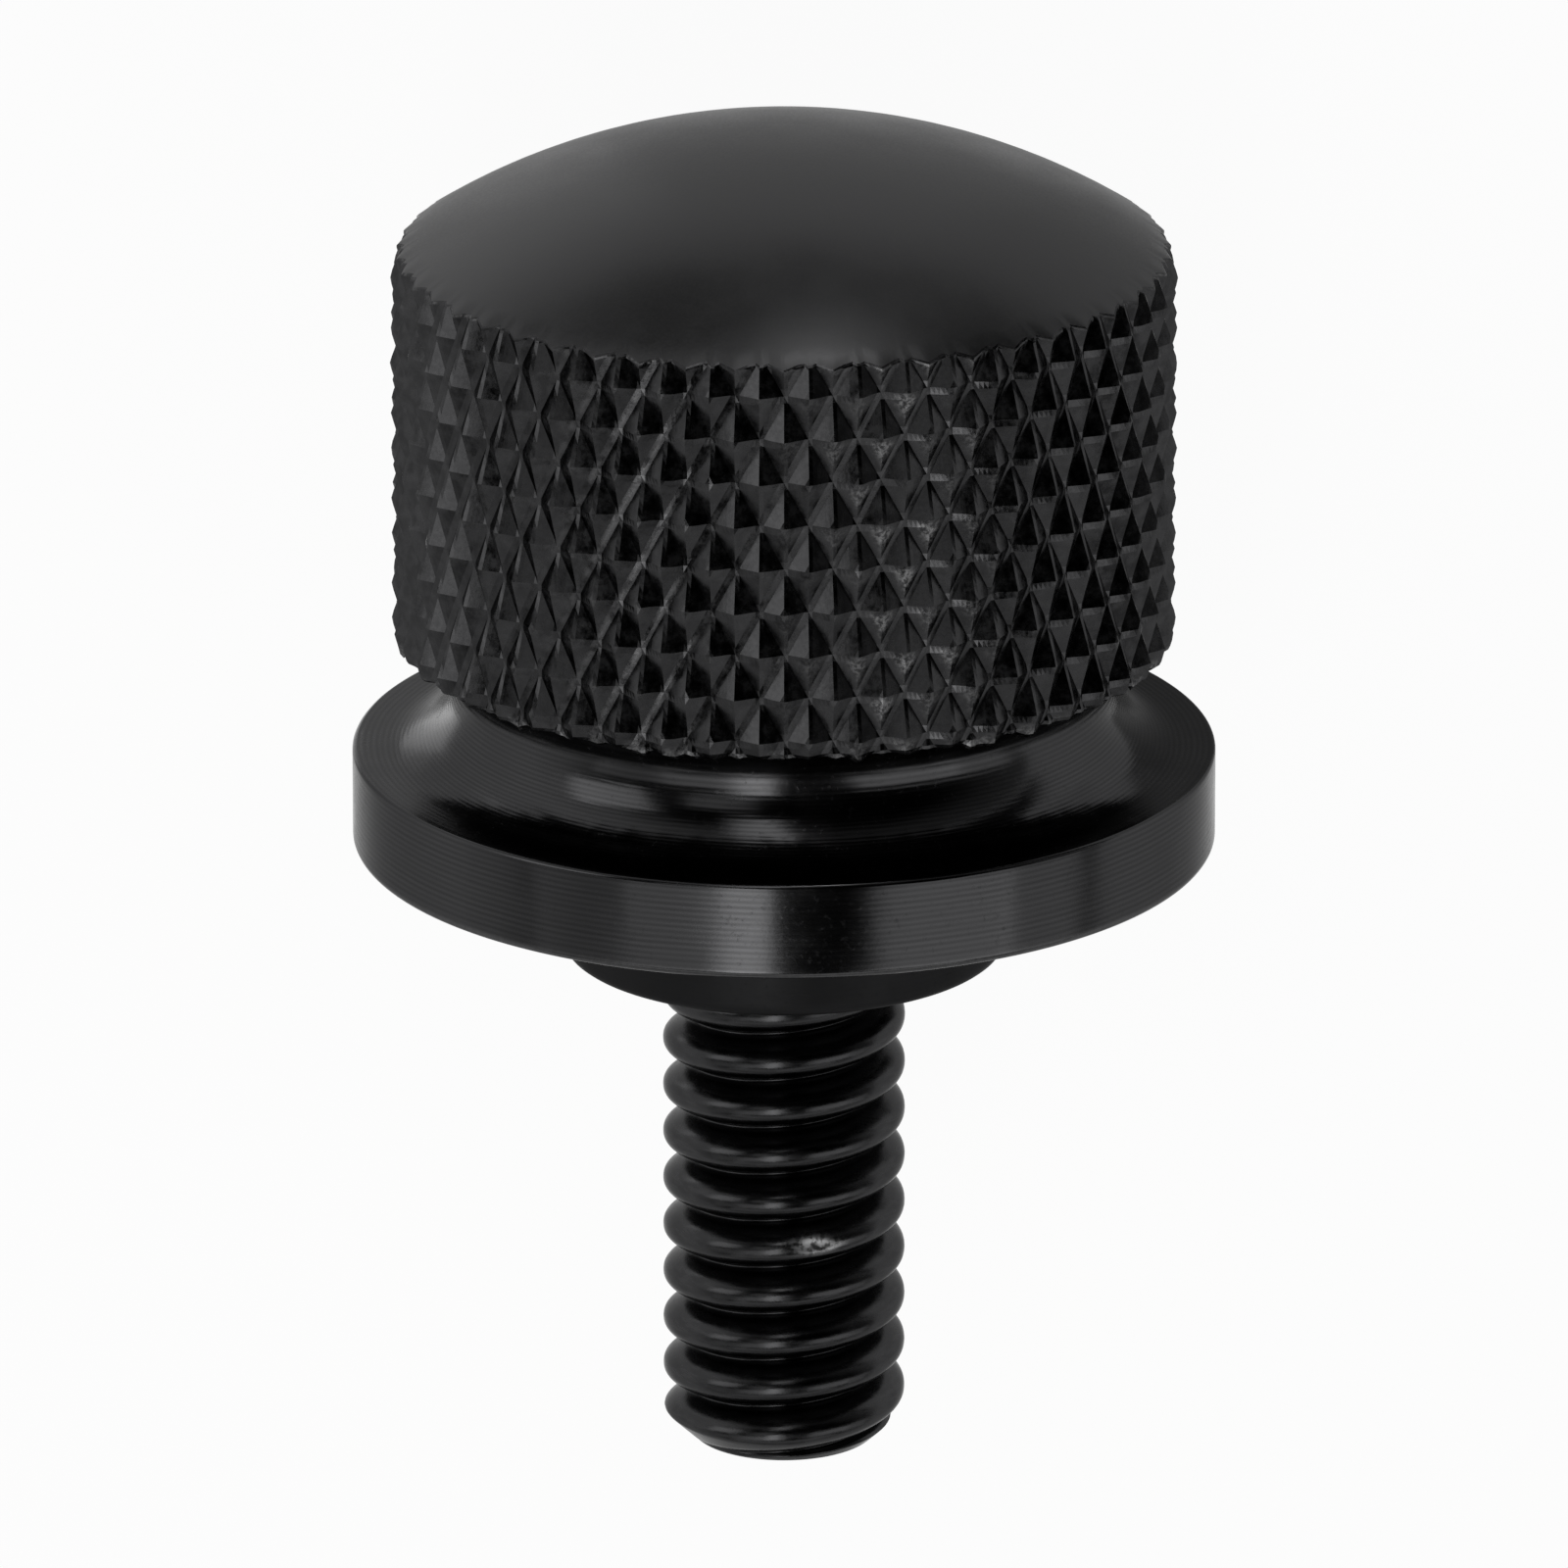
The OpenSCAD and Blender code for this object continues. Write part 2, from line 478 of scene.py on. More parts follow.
def add_head(shell, size):
    """The dome and the knurled grip, ending in a ring on the grip's flat lower face.

    The dome is a cap of a sphere through its edge and its apex. Its rows are shares of the way to its rim,
    which is where the sphere meets the knurl: that height is found in every column by halving. Knurl rows
    above the rim are drawn down onto it, and the rim's corner is eased by a narrow bevel.
    """
    knurl = Knurl(size)
    columns = (np.arange(2 * size["knurl_teeth"])[:, None] + HALF_TOOTH_STEPS).ravel()
    turn = math.pi / 2 + columns * knurl.half_tooth
    dome_r = (knurl.grip_r**2 + size["dome_h"] ** 2) / (2 * size["dome_h"])
    apex_z = knurl.edge_z + size["dome_h"]
    dome_z = apex_z - dome_r

    def dome_height(radius):
        """Height of the sphere at a distance from the axis."""
        return dome_z + np.sqrt(dome_r**2 - radius**2)

    clear, halvings = 0.2, 50
    low, high = np.full(columns.size, knurl.edge_z - clear), np.full(columns.size, apex_z)
    for _ in range(halvings):
        middle = (low + high) / 2
        inside = knurl.radius(columns, middle)[0] ** 2 + (middle - dome_z) ** 2 < dome_r**2
        low, high = np.where(inside, middle, low), np.where(inside, high, middle)
    rim_z = (low + high) / 2
    rim_r = knurl.radius(columns, rim_z)[0]

    bevel, dome_rows, inset = 0.06, 20, 0.18
    rim_wear, edge_lightening, burr_spread = 0.4, 0.55, 0.05
    shares = np.linspace(0, 1, dome_rows + 1)[1:-1, None]
    dome_r_rows = np.concatenate([shares * (rim_r - bevel), (rim_r - bevel)[None]])
    pole = shell.add(0.0, 0.0, apex_z)
    dome = shell.add(dome_r_rows, turn, dome_height(dome_r_rows))
    shell.fan(dome[0], pole.item(), DOME)
    shell.band(dome, DOME)

    below_z = rim_z - bevel
    below_r, below_wear, below_groove = knurl.radius(columns, below_z)
    corner_r = (rim_r * 2 + dome_r_rows[-1] + below_r) / 4
    corner_z = (rim_z * 2 + dome_height(dome_r_rows[-1]) + below_z) / 4
    rng = np.random.default_rng(SEED + 1)
    steps = np.arange(0, columns.max() + 2, CHIP_STEP)
    chips = np.interp(columns, steps, rng.random(steps.size))
    corner = shell.add(corner_r, turn, corner_z, wear=rim_wear * smooth_step(0.45, 0.95, chips))
    below = shell.add(below_r, turn, below_z, below_wear, below_groove)
    shell.band(np.stack([dome[-1], corner, below]), GRIP)

    # Rows of the grip, on the knurl's own steps down to its lower edge, which is eased and ragged
    first_row = math.floor((knurl.first_z - apex_z) / knurl.row_h)
    last_row = math.ceil((knurl.first_z - knurl.grip_z) / knurl.row_h)
    rows = (np.arange(first_row, last_row)[:, None] + HALF_TOOTH_STEPS).ravel()
    heights = knurl.first_z - rows * knurl.row_h
    heights = heights[(heights < rim_z.max()) & (heights > knurl.grip_z + clear)]
    edge_z = knurl.grip_z + EDGE_ROWS
    heights = np.append(heights, edge_z[::-1])[:, None]
    drawn = np.minimum(heights, below_z)
    grip_r, wear, groove = knurl.radius(columns, drawn)
    ease = np.interp(heights, edge_z, EDGE_EASE)
    steps = np.arange(0, columns.max() + 2, BURR_STEP)
    burr = np.interp(columns, steps, rng.random(steps.size) ** 5)
    edge = smooth_step(0.3, 0.0, heights - knurl.grip_z)
    sag = np.interp(heights, edge_z, EDGE_SAG) * burr
    wear = np.maximum(wear, edge_lightening * edge * smooth_step(0.02, 0.4, burr))
    numbers = shell.add(grip_r - ease + burr_spread * sag, turn, drawn - sag, wear, groove)
    numbers = np.where(heights >= below_z, below, numbers)
    grid = np.concatenate([below[None], numbers])
    mid_row = (knurl.first_z - np.concatenate([[rim_z.mean()], heights[:, 0]])) / knurl.row_h
    mid_row = np.floor((mid_row[:-1] + mid_row[1:]) / 2)
    parity = (mid_row[:, None] + np.floor(columns)) % 2 == 0
    shell.band(grid, GRIP, falling=parity)
    under = shell.add(knurl.grip_r - size["knurl_depth"] - inset, turn, knurl.grip_z)
    shell.band(np.stack([grid[-1], under]), GRIP)
    return under


def add_turned(shell, size, ring):
    """Neck, flange and shoulder: one profile of lines and arcs carried round the axis.

    Near each corner a face or a wall has one more row, the hold, that keeps the smooth shading to the corner.
    """
    neck_r, cove = size["neck_d"] / 2, size["cove_r"]
    flange_r, flange_t = size["flange_d"] / 2, size["flange_t"]
    head_round, seat_round = size["flange_head_round"], size["flange_seat_round"]
    shoulder_r, shoulder_z, bevel = size["shoulder_d"] / 2, -size["shoulder_h"], size["shoulder_bevel"]
    grip_z = flange_t + size["neck_h"]
    # Round of the crease under the flange, and strength of the painted highlight on the flange's seat edge
    crease, edge_lightening = 0.12, 0.14
    wall_hold, face_hold = 0.12, 0.2
    crease_wall_hold, crease_face_hold, bevel_hold = 0.1, 0.3, 0.25
    top = min(size["cove_top"], cove)
    flare = 180 - math.degrees(math.asin(top / cove))

    def wall(radius, start, end, points):
        """Profile points at one radius, evenly spaced between two heights."""
        return np.stack([np.full(points, radius), np.linspace(start, end, points)], axis=-1)

    profile = np.concatenate(
        [
            arc((neck_r + cove, grip_z - top), cove, flare, 180, 9)[:-1],
            arc((neck_r + cove, flange_t + cove), cove, 180, 270, 18),
            [[flange_r - head_round - face_hold, flange_t]],
            arc((flange_r - head_round, flange_t - head_round), head_round, 90, 0, 6),
            wall(flange_r, flange_t - head_round - wall_hold, seat_round + wall_hold, 4),
            arc((flange_r - seat_round, seat_round), seat_round, 0, -90, 8),
            [[flange_r - seat_round - face_hold, 0], [shoulder_r + crease + crease_face_hold, 0]],
            arc((shoulder_r + crease, -crease), crease, 90, 180, 3),
            wall(shoulder_r, -crease - crease_wall_hold, shoulder_z + bevel + wall_hold, 3),
            arc((shoulder_r - bevel, shoulder_z + bevel), bevel, 0, -90, 6),
            [[shoulder_r - bevel - bevel_hold, shoulder_z]],
        ]
    )
    turn = math.pi / 2 + np.arange(TURNED_COLUMNS) * math.tau / TURNED_COLUMNS
    corner = np.hypot(profile[:, :1] - flange_r, profile[:, 1:])
    # Painted highlight on the round of the flange's seat edge
    wear = edge_lightening * smooth_step(seat_round + 0.1, 0.6 * seat_round, corner)
    numbers = shell.add(profile[:, :1], turn, profile[:, 1:], wear)
    shell.stitch(ring, numbers[0], GRIP)
    shell.band(numbers, TURNED)
    return numbers[-1]


def thread_radius(size, turn, height):
    """Radius of a right-hand thread at a turn and a height.

    The height less the helix's rise, in pitches, gives the place across one thread. The drop grows with a
    power of the distance from the crest, so the crest is broad and round, and is blunted in the valley. The
    depth fades out below the shoulder, and the lead-in cone cuts the tail.
    """
    crest_r, pitch = size["thread_d"] / 2, size["thread_pitch"]
    crest_at, fade, plain_share = -10.54, 0.55, 0.45
    growth, power, valley_round, cone_round = 1.1, 2.4, 0.12, 0.06
    place = (height - crest_at) / pitch - turn / math.tau + 0.5
    off = 2 * np.abs(place - np.round(place))
    drop = size["thread_depth"] * smooth_min(growth * off**power, 1.0, valley_round)
    shoulder_z = -size["shoulder_h"]
    tail_z = shoulder_z - size["thread_l"]
    runout = smooth_step(0.0, fade, shoulder_z - height)
    plain_r = crest_r - plain_share * size["thread_depth"]
    radius = plain_r + (crest_r - drop - plain_r) * runout
    tip_r = crest_r - size["tip_bevel"]
    cone = tip_r + (height - tail_z) * size["tip_bevel"] / size["tip_bevel_l"]
    return smooth_min(radius, cone, cone_round)


def add_thread(shell, size, ring):
    """The threaded shank on a grid that follows its helix.

    A grid row climbs one pitch in one turn, so its end meets the start of the row one pitch higher. Rows that
    leave the shank are drawn onto the ring at its upper or lower end.
    """
    pitch, step = size["thread_pitch"], size["thread_pitch"] / ROWS_PER_PITCH
    top, tail = -size["shoulder_h"], -size["shoulder_h"] - size["thread_l"]
    face_ring, end_ring, nick_wear = 0.6, 0.12, 1.7
    share = np.arange(THREAD_COLUMNS) / THREAD_COLUMNS
    turn = math.pi / 2 + share * math.tau
    height = np.arange(top + pitch, tail - pitch - step, -step)[:, None] + pitch * share
    inner = shell.add(size["thread_d"] / 2 + face_ring, turn, top)
    shell.stitch(ring, inner, TURNED)
    upper = shell.add(thread_radius(size, turn, top), turn, top)
    lower = shell.add(thread_radius(size, turn, tail), turn, tail)
    shell.band(np.stack([inner, upper]), TURNED)
    radius = thread_radius(size, turn, height)

    # One nick on the front, where a crest has been struck
    aside = (turn - NICK_TURN) * size["thread_d"] / 2
    nick = np.exp(-((aside / NICK_W) ** 2) - ((height - NICK_Z) / NICK_H) ** 2)
    numbers = shell.add(radius - NICK_DEPTH * nick, turn, height, wear=np.minimum(1, nick_wear * nick))
    numbers = np.where(height >= top, upper, np.where(height <= tail, lower, numbers))
    seam = np.concatenate([np.full(ROWS_PER_PITCH, upper[0]), numbers[:-ROWS_PER_PITCH, 0]])
    shell.band(np.concatenate([numbers, seam[:, None]], axis=1), THREAD, closed=False)
    tip_r = size["thread_d"] / 2 - size["tip_bevel"]
    end = shell.add(np.array([[tip_r - end_ring], [tip_r / 2]]), turn, tail)
    shell.band(np.concatenate([lower[None], end]), THREAD)
    shell.fan(end[-1], shell.add(0.0, 0.0, tail).item(), THREAD, below=True)


def add_node(tree, kind, inputs=None, **settings):
    """A new node with its settings, and its inputs set to values or linked to other nodes' sockets."""
    node = tree.nodes.new(kind)
    for name, value in settings.items():
        setattr(node, name, value)
    for key, value in (inputs or {}).items():
        if isinstance(value, bpy.types.NodeSocket):
            tree.links.new(value, node.inputs[key])
        else:
            node.inputs[key].default_value = value
    return node


def math_node(tree, operation, *values):
    """The result of a Math node."""
    return add_node(tree, "ShaderNodeMath", dict(enumerate(values)), operation=operation).outputs[0]


def noise(tree, scale, detail=2.0, roughness=0.5, vector=None, along=None):
    """A Noise texture's value, over space or along one distance."""
    settings = {"noise_dimensions": "3D" if along is None else "1D"}
    inputs = {"Scale": scale, "Detail": detail, "Roughness": roughness}
    inputs["Vector" if along is None else "W"] = vector if along is None else along
    return add_node(tree, "ShaderNodeTexNoise", inputs, **settings).outputs["Fac"]


def ramp(tree, value, low, high, to_low=0.0, to_high=1.0):
    """A value's range carried smoothly to another."""
    inputs = {"Value": value, "From Min": low, "From Max": high, "To Min": to_low, "To Max": to_high}
    return add_node(tree, "ShaderNodeMapRange", inputs, interpolation_type="SMOOTHSTEP").outputs["Result"]


def mix_colour(tree, share, first, second):
    """Two colours mixed by a share."""
    node = add_node(tree, "ShaderNodeMix", data_type="RGBA")
    for key, value in (("Factor_Float", share), ("A_Color", first), ("B_Color", second)):
        socket = next(s for s in node.inputs if s.identifier == key)
        if isinstance(value, bpy.types.NodeSocket):
            tree.links.new(value, socket)
        else:
            socket.default_value = value
    return next(s for s in node.outputs if s.identifier == "Result_Color")


def vector_math(tree, operation, *values):
    """A Vector Math node."""
    return add_node(tree, "ShaderNodeVectorMath", dict(enumerate(values)), operation=operation)


def upright_coordinates(tree):
    """Object coordinates turned upright, in millimetres from the seat face's centre."""
    turned = Matrix([RIGHT, BACK, UP])
    inputs = {
        "Vector": add_node(tree, "ShaderNodeTexCoord").outputs["Object"],
        "Location": -(turned @ Vector(CENTRE / MM)),
        "Rotation": turned.to_euler(),
        "Scale": (1 / MM, 1 / MM, 1 / MM),
    }
    return add_node(tree, "ShaderNodeMapping", inputs).outputs["Vector"]


def from_axis(tree, upright):
    """Distance from the screw's axis."""
    flat = vector_math(tree, "MULTIPLY", upright, (1, 1, 0)).outputs["Vector"]
    return vector_math(tree, "LENGTH", flat).outputs["Value"]


def above_seat(tree, upright):
    """Height above the seat face."""
    return add_node(tree, "ShaderNodeSeparateXYZ", {0: upright}).outputs["Z"]


def attribute(tree, name):
    """A number stored on the screw's points."""
    return add_node(tree, "ShaderNodeAttribute", attribute_name=name).outputs["Fac"]


def new_finish(name, edge_tint):
    """A node material with a dark metal shader, whose grazing reflections are held back."""
    material = bpy.data.materials.new(name)
    material.use_nodes = True
    tree = material.node_tree
    shader = tree.nodes["Principled BSDF"]
    shader.inputs["Metallic"].default_value = 1.0
    shader.inputs["Specular Tint"].default_value = (edge_tint, edge_tint, edge_tint, 1.0)
    return material, tree, shader


def bump(tree, height, strength, distance_mm, normal=None):
    """A bump's normal."""
    inputs = {"Height": height, "Strength": strength, "Distance": distance_mm * MM}
    if normal is not None:
        inputs["Normal"] = normal
    return add_node(tree, "ShaderNodeBump", inputs).outputs["Normal"]


def opaque(colour, gain=1.0):
    """A colour property, made lighter or darker by a gain, with full alpha."""
    return (*(min(1.0, gain * c) for c in colour), 1.0)


def dome_finish(finish):
    """Satin black: an even fine grain over faint rings from turning, with cloudy gloss."""
    material, tree, shader = new_finish("satin_dome", finish.dome_edge)
    upright = upright_coordinates(tree)
    grain = noise(tree, 14.0, 3.0, 0.6, vector=upright)
    cloud = noise(tree, 0.35, 3.0, 0.5, vector=upright)
    rings = noise(tree, 4.0, 1.0, along=from_axis(tree, upright))
    clouded = ramp(tree, cloud, 0.3, 0.7, 0.0, 0.6)
    share = math_node(tree, "ADD", clouded, ramp(tree, grain, 0.35, 0.7, 0.0, 0.4))
    colour = mix_colour(tree, share, opaque(finish.dome), opaque(finish.dome, 1.2))
    tree.links.new(colour, shader.inputs["Base Color"])
    level = finish.dome_roughness
    clouded = ramp(tree, cloud, 0.3, 0.7, level - 0.03, level + 0.03)
    gloss = math_node(tree, "ADD", clouded, ramp(tree, grain, 0.3, 0.7, -0.03, 0.03))
    tree.links.new(gloss, shader.inputs["Roughness"])
    height = math_node(tree, "ADD", grain, math_node(tree, "MULTIPLY", rings, 0.5))
    tree.links.new(bump(tree, height, 0.25, 0.004), shader.inputs["Normal"])
    return material


def grip_finish(finish):
    """Black knurl: rolled flanks with a torn grain, rubbed tips and edges, and painted groove highlights."""
    material, tree, shader = new_finish("rolled_knurl", finish.grip_edge)
    upright = upright_coordinates(tree)
    grain = noise(tree, 9.0, 3.0, 0.6, vector=upright)
    patch = noise(tree, 2.6, 2.0, 0.5, vector=upright)
    wear, groove = attribute(tree, "wear"), attribute(tree, "groove")
    lightened = math_node(tree, "MULTIPLY", wear, ramp(tree, grain, 0.38, 0.66))
    # Painted highlight in the rising grooves, mixed towards the same light colour as the wear
    drawn = math_node(tree, "MULTIPLY", groove, ramp(tree, patch, 0.35, 0.65, 0.0, 0.2))
    share = math_node(tree, "MAXIMUM", lightened, drawn)
    base = mix_colour(tree, ramp(tree, patch, 0.3, 0.7), opaque(finish.black), opaque(finish.black, 1.4))
    tree.links.new(mix_colour(tree, share, base, opaque(finish.worn)), shader.inputs["Base Color"])
    level = finish.grip_roughness
    patchy = ramp(tree, patch, 0.3, 0.7, level - 0.06, level + 0.06)
    gloss = math_node(tree, "ADD", patchy, ramp(tree, grain, 0.3, 0.7, -0.05, 0.05))
    tree.links.new(gloss, shader.inputs["Roughness"])
    height = math_node(tree, "ADD", grain, patch)
    tree.links.new(bump(tree, height, 0.35, 0.006), shader.inputs["Normal"])
    return material


def turned_finish(finish):
    """Glossy black with the fine lines of the turning tool, streaked along them, and a few specks.

    The lines follow the distance from the axis less the height, which grows all the way from the neck over
    the groove and the flange's face down the flange's side.
    """
    material, tree, shader = new_finish("turned_black", finish.turned_edge)
    upright = upright_coordinates(tree)
    above = above_seat(tree, upright)
    profile = math_node(tree, "SUBTRACT", from_axis(tree, upright), above)
    pitch = finish.tool_pitch / MM
    waver = math_node(tree, "MULTIPLY", noise(tree, 0.5, 2.0, vector=upright), 0.05)
    along = math_node(tree, "ADD", profile, waver)
    lines = math_node(tree, "SINE", math_node(tree, "MULTIPLY", along, math.tau / pitch))
    uneven = noise(tree, 1.0 / pitch, 2.0, 0.6, along=along)
    patch = noise(tree, 0.8, 2.0, vector=upright)
    speck = noise(tree, 7.0, 2.0, 0.6, vector=upright)
    spread = vector_math(tree, "MULTIPLY", upright, (0.09, 0.09, 0.0)).outputs["Vector"]
    lift = add_node(tree, "ShaderNodeCombineXYZ", {"Z": along}).outputs["Vector"]
    streaked = vector_math(tree, "ADD", spread, lift).outputs["Vector"]
    streak = noise(tree, 8.0, 1.0, 0.5, vector=streaked)
    lined = math_node(tree, "MULTIPLY", ramp(tree, lines, -1.0, 1.0), ramp(tree, patch, 0.3, 0.7, 0.5, 0.8))
    share = math_node(tree, "MULTIPLY_ADD", ramp(tree, uneven, 0.3, 0.7), 0.2, lined)
    colour = mix_colour(tree, share, opaque(finish.black), opaque(finish.black, 1.45))
    # Painted shade on the shoulder under the flange: darker below the seat face
    below = ramp(tree, above, -0.25, -0.1, 1.0, 0.0)
    colour = mix_colour(tree, below, colour, opaque(finish.black, 0.55))
    # Painted highlight on the flange's seat edge, broken up by specks
    lightened = math_node(tree, "MULTIPLY", attribute(tree, "wear"), ramp(tree, speck, 0.3, 0.6, 0.6, 1.0))
    tree.links.new(mix_colour(tree, lightened, colour, opaque(finish.worn)), shader.inputs["Base Color"])
    level = finish.turned_roughness
    patchy = ramp(tree, patch, 0.3, 0.7, level - 0.03, level + 0.03)
    gloss = math_node(tree, "ADD", patchy, ramp(tree, speck, 0.55, 0.8, 0.0, 0.12))
    gloss = math_node(tree, "ADD", gloss, ramp(tree, above, -0.2, 0.0, 0.3, 0.0))
    tree.links.new(gloss, shader.inputs["Roughness"])
    cut = math_node(tree, "MULTIPLY", lines, ramp(tree, patch, 0.3, 0.7, 0.3, 0.7))
    height = math_node(tree, "ADD", cut, math_node(tree, "MULTIPLY", uneven, 0.5))
    normal = bump(tree, height, 0.3, 0.0035)
    normal = bump(tree, streak, 0.25, 0.01, normal)
    tree.links.new(bump(tree, speck, 0.2, 0.004, normal), shader.inputs["Normal"])
    return material


def thread_finish(finish):
    """Glossy black thread, a little torn along its flanks, with bare metal in the nick."""
    material, tree, shader = new_finish("cut_thread", finish.thread_edge)
    upright = upright_coordinates(tree)
    squeezed = vector_math(tree, "MULTIPLY", upright, (1.0, 1.0, 5.0)).outputs["Vector"]
    torn = noise(tree, 1.6, 3.0, 0.6, vector=squeezed)
    grain = noise(tree, 8.0, 2.0, 0.5, vector=upright)
    nick = math_node(tree, "MULTIPLY", attribute(tree, "wear"), ramp(tree, grain, 0.35, 0.6, 0.4, 1.0))
    base = mix_colour(tree, ramp(tree, torn, 0.35, 0.7), opaque(finish.black), opaque(finish.black, 1.3))
    tree.links.new(mix_colour(tree, nick, base, opaque(finish.bare)), shader.inputs["Base Color"])
    level = finish.thread_roughness
    streaky = ramp(tree, torn, 0.3, 0.7, level - 0.04, level + 0.06)
    gloss = math_node(tree, "ADD", streaky, math_node(tree, "MULTIPLY", nick, 0.3))
    tree.links.new(gloss, shader.inputs["Roughness"])
    rough = math_node(tree, "ADD", torn, math_node(tree, "MULTIPLY", grain, 0.4))
    tree.links.new(bump(tree, rough, 0.3, 0.012), shader.inputs["Normal"])
    return material


class SEATTABSCREW_OT_screw(Operator):
    """Builds the screw as one closed surface and lets it stand for its solid."""

    bl_idname = "seat_tab_screw.screw"
    bl_label = "Build Screw"

    def execute(self, context):
        size = lengths_in_mm(context.scene.screw_sizes)
        finish = context.scene.screw_finish
        shell = Shell()
        ring = add_head(shell, size)
        ring = add_turned(shell, size, ring)
        add_thread(shell, size, ring)
        mesh = shell.mesh("knurled_screw")
        for make in (dome_finish, grip_finish, turned_finish, thread_finish):
            mesh.materials.append(make(finish))
        screw = bpy.data.objects.new("knurled_screw", mesh)
        context.scene.collection.objects.link(screw)
        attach(screw, "root")
        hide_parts(NODE)
        return {"FINISHED"}


def seen_from(azimuth, elevation):
    """A direction from the screw, by degrees to the right of its front and above its seat face's plane."""
    a, e = math.radians(azimuth), math.radians(elevation)
    return math.cos(e) * (math.sin(a) * RIGHT + math.cos(a) * FRONT) + math.sin(e) * UP


# Soft lamps: name, degrees right of the front, degrees above the seat face's plane, distance, width and
# height in metres, and brightness, where 1 is white
LAMPS = (
    ("strip_lamp", -10, -17, 0.32, 0.07, 0.19, 4.0),
    ("upper_lamp", -10, 58, 0.32, 0.07, 0.24, 2.2),
    ("left_fill", -29, -21, 0.32, 0.14, 0.13, 1.1),
    ("far_left_fill", -55, -21, 0.32, 0.15, 0.13, 0.55),
    ("left_lamp", -62, 16, 0.32, 0.16, 0.18, 1.7),
    ("front_lamp", -22, 12, 0.32, 0.12, 0.12, 0.7),
    ("right_fill", 43, -21, 0.32, 0.21, 0.13, 1.5),
    ("far_right_fill", 72, -21, 0.32, 0.13, 0.13, 0.8),
    ("head_lamp", 55, 83.7, 0.105, 0.012, 0.008, 22.0),
    ("tail_lamp", 0, -55, 0.32, 0.52, 0.14, 0.8),
)

# Cards and light panels on the floor: name, where each begins and ends along the screw from its seat face,
# its left and right edge, in metres, and its brightness, where 1 is white; all lie at one lift above it
CARDS = (
    ("head_card", 0.04, 0.4, -0.045, 0.3, 0.01),
    ("dome_card", 0.015, 0.036, 0.009, 0.03, 0.8),
    ("flange_card", 0.0, 0.0095, 0.0066, 0.016, 0.3),
    ("dome_panel", 0.0175, 0.028, -0.025, -0.0055, 1.35),
    ("flange_panel", 0.0, 0.0055, -0.017, -0.0115, 2.4),
)
CARD_LIFT = 1e-4

# The floor: half its width, how far it lies below the screw, and the share of it that shows as plain white
FLOOR_HALF = 1.6
FLOOR_DROP = 2e-5
FLOOR_WHITE = 0.95


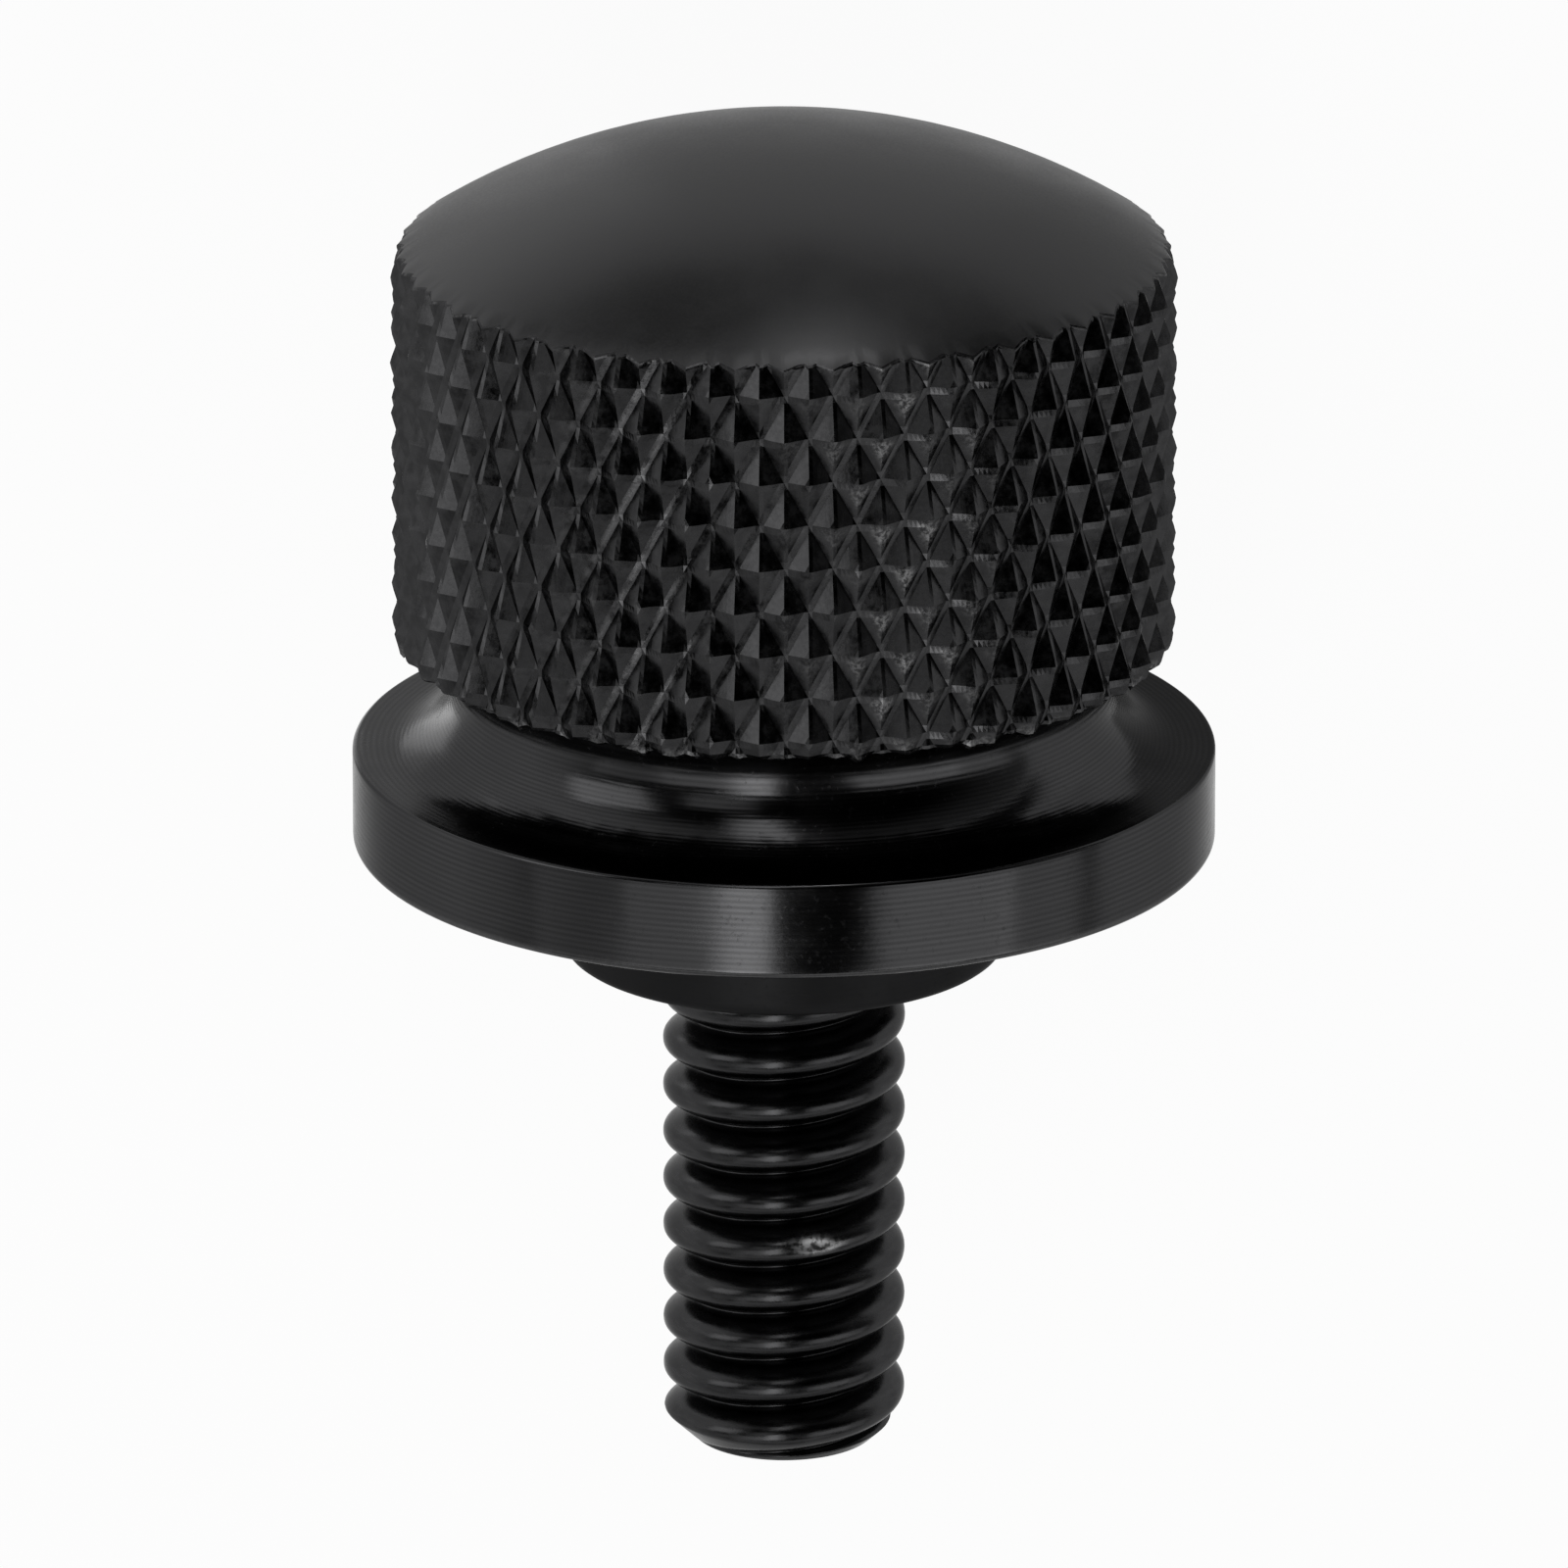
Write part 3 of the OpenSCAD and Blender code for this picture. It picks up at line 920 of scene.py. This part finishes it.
class SEATTABSCREW_OT_stage(Operator):
    """Sets the floor and its cards, the soft lamps, the surroundings and the camera."""

    bl_idname = "seat_tab_screw.stage"
    bl_label = "Set Stage"

    def execute(self, context):
        settings = context.scene.screw_stage
        self.lay_floor(context, settings)
        self.lay_cards(context)
        self.hang_lamps(context, settings)
        self.surround(context)
        self.set_camera(context, settings)
        context.scene.view_settings.view_transform = "Standard"
        return {"FINISHED"}

    def lay_floor(self, context, settings):
        """A pale floor that shows as white to the camera and in the metal, and still takes a soft shadow."""
        half, low = FLOOR_HALF, -FLOOR_DROP
        corners = [(-half, -half, low), (half, -half, low), (half, half, low), (-half, half, low)]
        mesh = bpy.data.meshes.new("floor")
        mesh.from_pydata(corners, [], [(0, 1, 2, 3)])
        material = bpy.data.materials.new("pale_floor")
        material.use_nodes = True
        tree = material.node_tree
        tree.nodes.clear()
        speckle = noise(tree, 900.0, 2.0, vector=add_node(tree, "ShaderNodeTexCoord").outputs["Object"])
        colour = mix_colour(tree, speckle, opaque(settings.floor), opaque(settings.floor, 1.02))
        paint = add_node(tree, "ShaderNodeBsdfDiffuse", {"Color": colour})
        glow = add_node(tree, "ShaderNodeEmission", {"Color": (1, 1, 1, 1), "Strength": 1.0})
        path = add_node(tree, "ShaderNodeLightPath")
        seen = math_node(tree, "MAXIMUM", path.outputs["Is Camera Ray"], path.outputs["Is Glossy Ray"])
        seen = math_node(tree, "MAXIMUM", seen, path.outputs["Is Transmission Ray"])
        share = math_node(tree, "MULTIPLY", seen, FLOOR_WHITE)
        mixed = add_node(tree, "ShaderNodeMixShader", {0: share, 1: paint.outputs[0], 2: glow.outputs[0]})
        add_node(tree, "ShaderNodeOutputMaterial", {"Surface": mixed.outputs[0]})
        mesh.materials.append(material)
        floor = bpy.data.objects.new("floor", mesh)
        context.scene.collection.objects.link(floor)

    def lay_cards(self, context):
        """Cards and panels flat on the floor, hidden from the camera, that the metal mirrors."""
        along = np.array([UP[0], UP[1], 0.0]) / np.hypot(UP[0], UP[1])
        foot = np.array([CENTRE[0], CENTRE[1], CARD_LIFT])
        for name, near, far, left, right, brightness in CARDS:
            places = ((near, left), (near, right), (far, right), (far, left))
            corners = [tuple(foot + a * along + s * RIGHT) for a, s in places]
            mesh = bpy.data.meshes.new(name)
            mesh.from_pydata(corners, [], [(0, 1, 2, 3)])
            material = bpy.data.materials.new(name)
            material.use_nodes = True
            tree = material.node_tree
            tree.nodes.clear()
            glow = add_node(tree, "ShaderNodeEmission", {"Color": (1, 1, 1, 1), "Strength": brightness})
            add_node(tree, "ShaderNodeOutputMaterial", {"Surface": glow.outputs[0]})
            mesh.materials.append(material)
            card = bpy.data.objects.new(name, mesh)
            card.visible_camera = False
            card.visible_shadow = False
            card.visible_diffuse = False
            context.scene.collection.objects.link(card)

    def hang_lamps(self, context, settings):
        """Area lamps that face the screw; a lamp's power is its brightness times its area times pi."""
        for name, azimuth, elevation, distance, width, height, brightness in LAMPS:
            lamp = bpy.data.lights.new(name, "AREA")
            lamp.shape = "RECTANGLE"
            lamp.size, lamp.size_y = width, height
            lamp.energy = brightness * settings.lamp_gain * width * height * math.pi
            direction = Vector(seen_from(azimuth, elevation))
            held = bpy.data.objects.new(name, lamp)
            held.location = Vector(CENTRE) + direction * distance
            up = Vector(UP) if abs(direction.dot(Vector(UP))) < 0.9 else Vector(FRONT)
            side = up.cross(direction).normalized()
            basis = Matrix([side, direction.cross(side), direction]).transposed()
            held.rotation_euler = basis.to_euler()
            held.visible_camera = False
            context.scene.collection.objects.link(held)

    def surround(self, context):
        """Pale surroundings near the horizon that darken overhead and towards the head's right."""
        world = bpy.data.worlds.new("soft_room")
        world.use_nodes = True
        tree = world.node_tree
        tree.nodes.clear()
        direction = add_node(tree, "ShaderNodeTexCoord").outputs["Generated"]
        height = add_node(tree, "ShaderNodeSeparateXYZ", {0: direction}).outputs["Z"]
        away = tuple(RIGHT + 0.8 * UP)
        aside = vector_math(tree, "DOT_PRODUCT", direction, away).outputs["Value"]
        overhead = ramp(tree, height, 0.05, 0.6, 0.8, 0.005)
        level = math_node(tree, "MULTIPLY", overhead, ramp(tree, aside, -0.1, 0.9, 1.0, 0.25))
        background = add_node(tree, "ShaderNodeBackground", {"Color": (1, 1, 1, 1), "Strength": level})
        add_node(tree, "ShaderNodeOutputWorld", {"Surface": background.outputs[0]})
        context.scene.world = world

    def set_camera(self, context, settings):
        """The camera looks down on the lying screw, with the head towards the top of the picture."""
        lens = bpy.data.cameras.new("photo_camera")
        lens.lens = settings.lens
        lens.sensor_width = 36.0
        lens.clip_start, lens.clip_end = 0.01, 10.0
        camera = bpy.data.objects.new("photo_camera", lens)
        back = Vector(seen_from(0, math.degrees(settings.elevation)))
        right = Vector(RIGHT)
        basis = Matrix([right, back.cross(right), back]).transposed()
        target = Vector(CENTRE + UP * settings.aim)
        camera.matrix_world = Matrix.Translation(target + back * settings.distance) @ basis.to_4x4()
        context.scene.collection.objects.link(camera)
        context.scene.camera = camera


class SEATTABSCREW_PT_panel(Panel):
    """Lists the steps and their values in the sidebar."""

    bl_label = "Seat Tab Screw"
    bl_idname = "SEATTABSCREW_PT_panel"
    bl_space_type = "VIEW_3D"
    bl_region_type = "UI"
    bl_category = "Seat Tab Screw"

    def draw(self, context):
        for step, group in (
            (SEATTABSCREW_OT_screw, context.scene.screw_sizes),
            (SEATTABSCREW_OT_screw, context.scene.screw_finish),
            (SEATTABSCREW_OT_stage, context.scene.screw_stage),
        ):
            box = self.layout.box()
            box.operator(step.bl_idname)
            for name in group.__annotations__:
                box.prop(group, name)


CLASSES = (
    ScrewSizes,
    ScrewFinish,
    StageSettings,
    SEATTABSCREW_OT_screw,
    SEATTABSCREW_OT_stage,
    SEATTABSCREW_PT_panel,
)
GROUPS = {"screw_sizes": ScrewSizes, "screw_finish": ScrewFinish, "screw_stage": StageSettings}


def register():
    for cls in CLASSES:
        bpy.utils.register_class(cls)
    for name, group in GROUPS.items():
        setattr(bpy.types.Scene, name, PointerProperty(type=group))


def unregister():
    for name in GROUPS:
        delattr(bpy.types.Scene, name)
    for cls in reversed(CLASSES):
        bpy.utils.unregister_class(cls)


def main():
    register()
    bpy.ops.seat_tab_screw.screw()
    bpy.ops.seat_tab_screw.stage()


if __name__ == "__main__":
    main()
